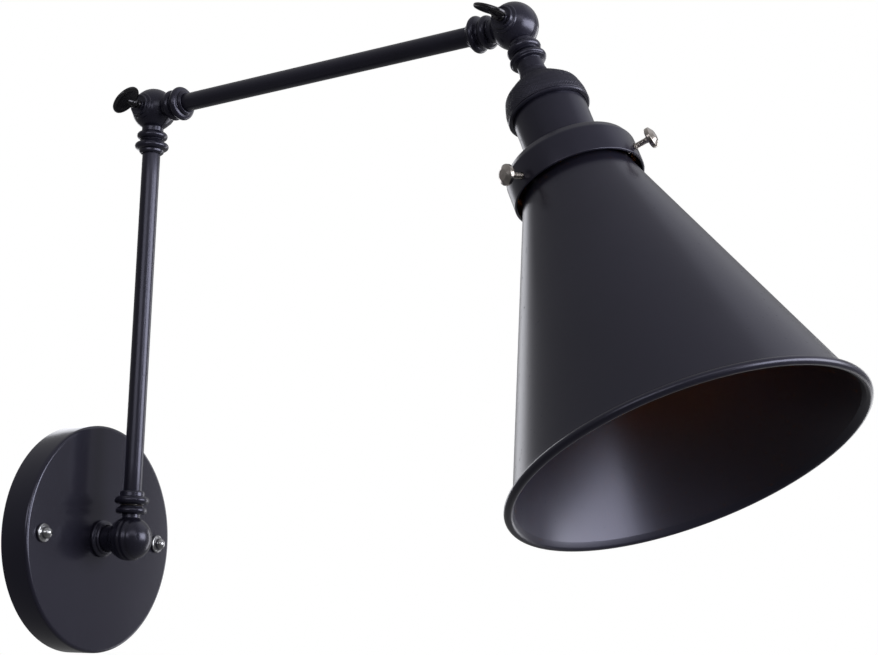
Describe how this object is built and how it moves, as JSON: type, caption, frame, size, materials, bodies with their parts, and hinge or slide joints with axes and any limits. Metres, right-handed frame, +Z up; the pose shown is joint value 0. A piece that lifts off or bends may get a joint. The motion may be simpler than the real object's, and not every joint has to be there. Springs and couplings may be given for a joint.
{
  "type": "swing arm wall sconce",
  "caption": "Swing arm wall sconce: round canopy, two tube arms on ball knuckles with wing screws, and a cone shade on a knurled socket.",
  "frame": {"origin": "centre of the canopy on the wall plane", "axes": "+Z up, -Y out from the wall, +X to the right of a person facing the lamp"},
  "size_m": [0.2026, 0.4508, 0.3197],
  "materials": {
    "satin_black": "satin black powder coat with a faint cool cast",
    "dark_nickel": "black nickel plate, polished",
    "nickel": "smoked nickel plate, polished",
    "zinc_steel": "zinc plated steel",
    "brass": "plain brass",
    "ground_green": "green lacquered steel",
    "fibre": "vulcanised fibre",
    "porcelain": "glazed porcelain",
    "flex_black": "black flex sheath",
    "bulb_glass": "clear blown glass",
    "filament": "glass stem with lit filaments"
  },
  "bodies": {
    "wall_side": {"wall_crossbar": "zinc_steel", "canopy": "satin_black", "canopy_screw_left": "dark_nickel", "canopy_screw_right": "dark_nickel", "ground_screw": "ground_green", "mounting_nipple": "zinc_steel", "nipple_nut": "zinc_steel", "nipple_washer": "zinc_steel", "base_collar": "satin_black", "base_ball": "satin_black", "swivel_stud": "zinc_steel", "swivel_washer": "fibre", "swivel_clip": "zinc_steel", "base_lead": "flex_black"},
    "lower_arm": {"lower_arm_base_ferrule": "satin_black", "lower_arm_tube": "satin_black", "lower_arm_lead": "flex_black", "lower_arm_elbow_ferrule": "satin_black", "elbow_outer_half": "satin_black", "elbow_washer": "fibre"},
    "elbow_wing_screw": {"elbow_wing": "dark_nickel", "elbow_stud": "dark_nickel"},
    "upper_arm": {"elbow_inner_half": "satin_black", "elbow_nut": "dark_nickel", "upper_arm_elbow_ferrule": "satin_black", "upper_arm_tube": "satin_black", "upper_arm_lead": "flex_black", "upper_arm_head_ferrule": "satin_black", "head_outer_half": "satin_black", "head_washer": "fibre"},
    "head_wing_screw": {"head_wing": "dark_nickel", "head_stud": "dark_nickel"},
    "head": {"head_inner_half": "satin_black", "head_nut": "dark_nickel", "head_neck": "satin_black", "head_lead": "flex_black", "socket_cap": "satin_black", "socket_shell": "satin_black", "lampholder": "porcelain", "screw_shell": "brass", "centre_contact": "brass", "gallery": "satin_black", "gallery_ring": "zinc_steel", "shade": "satin_black", "bulb_base": "brass", "bulb_glass": "bulb_glass", "bulb_stem": "filament"},
    "shade_screw_1": {"thumbscrew_1": "nickel"},
    "shade_screw_2": {"thumbscrew_2": "nickel"},
    "shade_screw_3": {"thumbscrew_3": "nickel"}
  },
  "joints": [
    {"name": "arm_swing", "type": "hinge", "parent": "wall_side", "child": "lower_arm", "pos_m": [0, -0.036, 0], "axis": [0, 0, 1], "range_deg": [-52, 78]},
    {"name": "elbow_tilt", "type": "hinge", "parent": "lower_arm", "child": "upper_arm", "pos_m": [0, -0.036, 0.24], "axis": [-0.9925, 0.1219, 0], "range_deg": [-22, 75]},
    {"name": "elbow_wing_turn", "type": "hinge", "parent": "lower_arm", "child": "elbow_wing_screw", "pos_m": [0, -0.036, 0.24], "axis": [-0.9925, 0.1219, 0], "range_deg": [-90, 270]},
    {"name": "head_tilt", "type": "hinge", "parent": "upper_arm", "child": "head", "pos_m": [-0.02924, -0.27413, 0.24628], "axis": [-0.9892, 0.1235, 0.0784], "range_deg": [-30, 60]},
    {"name": "head_wing_turn", "type": "hinge", "parent": "upper_arm", "child": "head_wing_screw", "pos_m": [-0.02924, -0.27413, 0.24628], "axis": [-0.9892, 0.1235, 0.0784], "range_deg": [-90, 270]},
    {"name": "shade_screw_1_turn", "type": "hinge", "parent": "head", "child": "shade_screw_1", "pos_m": [-0.0408, -0.31326, 0.16215], "axis": [0.0255, -0.9078, 0.4187], "range_deg": [-90, 270]},
    {"name": "shade_screw_2_turn", "type": "hinge", "parent": "head", "child": "shade_screw_2", "pos_m": [-0.0408, -0.31326, 0.16215], "axis": [-0.8719, 0.4788, -0.1029], "range_deg": [-90, 270]},
    {"name": "shade_screw_3_turn", "type": "hinge", "parent": "head", "child": "shade_screw_3", "pos_m": [-0.0408, -0.31326, 0.16215], "axis": [0.8463, 0.4289, -0.3158], "range_deg": [-90, 270]}
  ]
}
